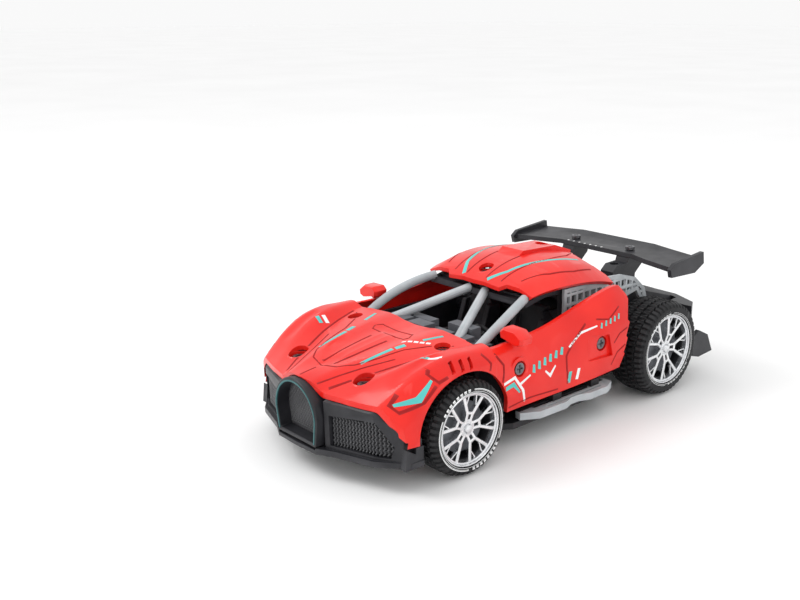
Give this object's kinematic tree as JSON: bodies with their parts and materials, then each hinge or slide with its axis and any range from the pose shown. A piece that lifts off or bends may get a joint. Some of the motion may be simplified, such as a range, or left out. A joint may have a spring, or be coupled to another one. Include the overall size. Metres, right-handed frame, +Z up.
{
  "type": "pull back car",
  "caption": "Toy sports car with a screwed-on body shell, open tube cage, rear wing, rolling wheels and a clockwork drive on the rear axle.",
  "frame": {"origin": "on the ground under the centre of the car's bounding box", "axes": "+X to the car's left, +Y to its tail, +Z up"},
  "size_m": [0.08, 0.16, 0.0522],
  "materials": {
    "red_paint": "glossy red enamel over die-cast shell",
    "black_plastic": "matte black moulded plastic",
    "grey_plastic": "dark grey moulded plastic",
    "light_grey_plastic": "light grey moulded plastic",
    "tyre_rubber": "black soft rubber with white printed ring",
    "silver_rim": "bright silver plated plastic",
    "axle_steel": "drawn steel",
    "screw_steel": "blackened steel",
    "gear_nylon": "natural white nylon",
    "spring_steel": "blued spring steel",
    "board_green": "green circuit board",
    "speaker_black": "black paper cone in a thin frame",
    "cell_nickel": "nickel-plated button cells",
    "light_red": "dark red clear plastic",
    "pipe_silver": "plated plastic"
  },
  "bodies": {
    "car": {"battery_cells": "cell_nickel", "battery_cover": "black_plastic", "battery_screw": "screw_steel", "chassis": "black_plastic", "circuit_board": "board_green", "dashboard": "grey_plastic", "door_screws": "screw_steel", "exhaust_pipes": "pipe_silver", "front_bumper": "black_plastic", "front_shell": "red_paint", "grille_centre": "black_plastic", "grille_left": "black_plastic", "grille_right": "black_plastic", "grille_surround": "black_plastic", "interior_tub": "black_plastic", "light_bar": "light_red", "mainspring": "spring_steel", "mirror_left": "red_paint", "mirror_right": "red_paint", "motor_case": "grey_plastic", "motor_cover": "grey_plastic", "nose_unit_screws": "screw_steel", "rear_bumper": "black_plastic", "rear_deck": "black_plastic", "roll_cage": "light_grey_plastic", "roof_frame": "black_plastic", "roof_panel": "red_paint", "seat_left": "black_plastic", "seat_right": "black_plastic", "shell_screws": "screw_steel", "side_lattice_left": "light_grey_plastic", "side_lattice_right": "light_grey_plastic", "side_panel_left": "red_paint", "side_panel_right": "red_paint", "side_step_left": "light_grey_plastic", "side_step_right": "light_grey_plastic", "speaker": "speaker_black", "steering_wheel": "black_plastic", "tail_screws": "screw_steel", "underside_screws": "screw_steel", "wing_blade": "black_plastic", "wing_stanchion_left": "black_plastic", "wing_stanchion_right": "black_plastic", "yoke_retainer": "black_plastic", "yoke_spring": "spring_steel"},
    "front_carriage": {"front_yoke": "black_plastic"},
    "front_wheels": {"front_axle": "axle_steel", "rim_front_left": "silver_rim", "rim_front_right": "silver_rim", "tyre_front_left": "tyre_rubber", "tyre_front_right": "tyre_rubber"},
    "rear_wheels": {"rear_axle": "axle_steel", "rim_rear_left": "silver_rim", "rim_rear_right": "silver_rim", "tyre_rear_left": "tyre_rubber", "tyre_rear_right": "tyre_rubber", "axle_gear": "gear_nylon"},
    "transfer": {"transfer_gear": "gear_nylon"},
    "spring_arbor": {"spring_gear": "gear_nylon"}
  },
  "joints": [
    {"name": "press_down", "type": "slide", "parent": "car", "child": "front_carriage", "axis": [0, 0, 1], "range_m": [0, 0.0012], "stiffness_N_per_m": 1500, "springref_m": -0.002, "deforming": ["yoke_spring"]},
    {"name": "front_axle_spin", "type": "hinge", "parent": "front_carriage", "child": "front_wheels", "pos_m": [0, -0.046, 0.0146], "axis": [1, 0, 0], "continuous": true},
    {"name": "rear_axle_spin", "type": "hinge", "parent": "car", "child": "rear_wheels", "pos_m": [0, 0.0475, 0.0168], "axis": [1, 0, 0], "continuous": true},
    {"name": "transfer_spin", "type": "hinge", "parent": "car", "child": "transfer", "pos_m": [0, 0.03832, 0.01926], "axis": [1, 0, 0], "continuous": true},
    {"name": "spring_arbor_spin", "type": "hinge", "parent": "car", "child": "spring_arbor", "pos_m": [0, 0.02683, 0.01966], "axis": [1, 0, 0], "continuous": true}
  ],
  "couplings": [
    {"joint": "transfer_spin", "follows": "rear_axle_spin", "ratio": -0.46154},
    {"joint": "spring_arbor_spin", "follows": "rear_axle_spin", "ratio": 0.12821}
  ]
}
